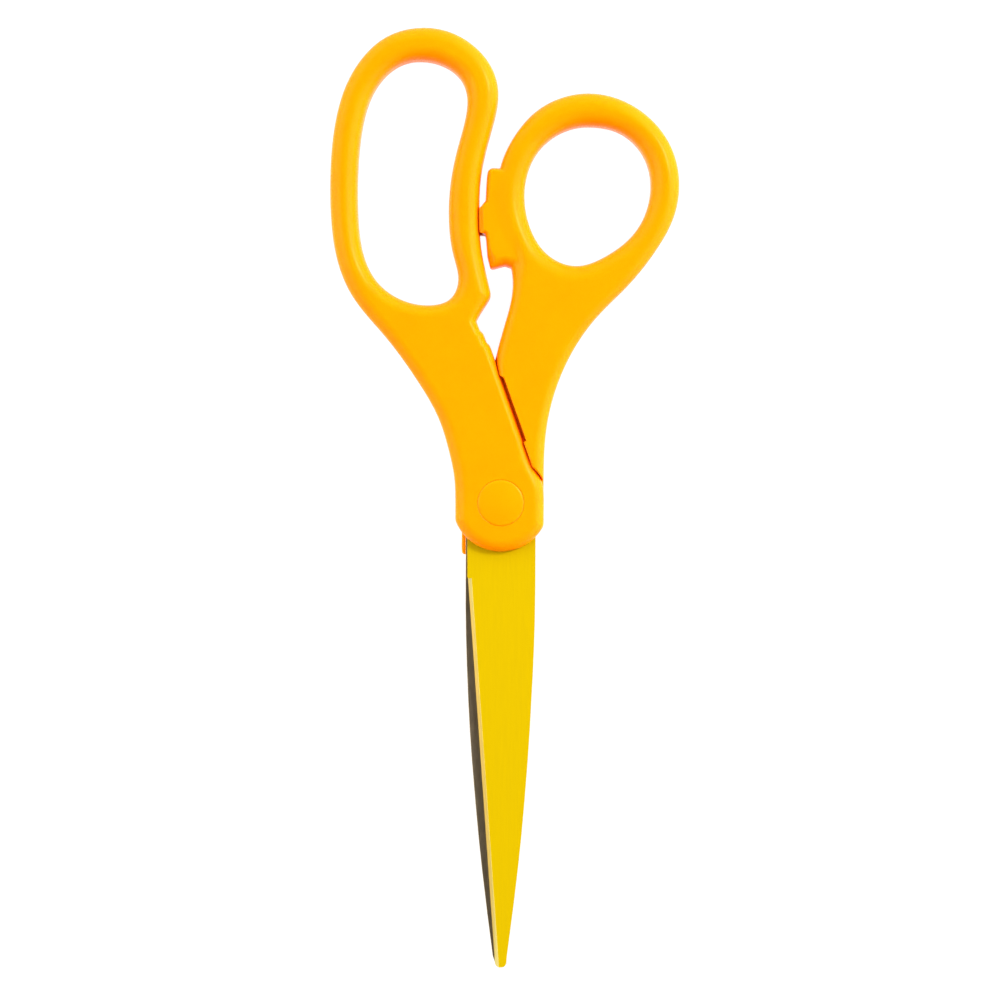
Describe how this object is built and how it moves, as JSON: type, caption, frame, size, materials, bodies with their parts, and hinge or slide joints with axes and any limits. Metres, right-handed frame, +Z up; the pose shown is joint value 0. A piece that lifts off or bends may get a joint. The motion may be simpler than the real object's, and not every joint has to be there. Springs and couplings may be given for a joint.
{
  "type": "office scissors",
  "caption": "Right-handed office scissors with moulded offset handles, a round thumb loop, a long finger loop, coated pointed blades and a capped pivot that opens.",
  "frame": {"origin": "on the pivot axis, at the surface the closed scissors lie on, which is the outer face of the rear pivot cap", "axes": "+X across the scissors from the finger loop's side to the thumb loop's side, +Y from the pivot towards the handles, +Z up from the surface they lie on, along the pivot"},
  "size_m": [0.0755, 0.203, 0.0105],
  "materials": {
    "handle_plastic": "satin moulded amber-yellow plastic",
    "blade_steel": "satin yellow coating on steel with ground bare bevels and inner faces",
    "rivet_steel": "turned steel",
    "spring_steel": "rolled spring steel",
    "cap_plastic": "glossy moulded amber-yellow plastic"
  },
  "bodies": {
    "thumb_half": {"thumb_handle": "handle_plastic", "lower_blade": "blade_steel", "pivot_rivet": "rivet_steel", "spring_washer": "spring_steel", "backing_washer": "rivet_steel", "rear_pivot_cap": "cap_plastic"},
    "finger_half": {"finger_handle": "handle_plastic", "upper_blade": "blade_steel", "front_pivot_cap": "cap_plastic"}
  },
  "joints": [
    {"name": "blade_pivot", "type": "hinge", "parent": "thumb_half", "child": "finger_half", "pos_m": [0, 0, 0.005], "axis": [0, 0, 1], "range_deg": [0, 70]}
  ]
}
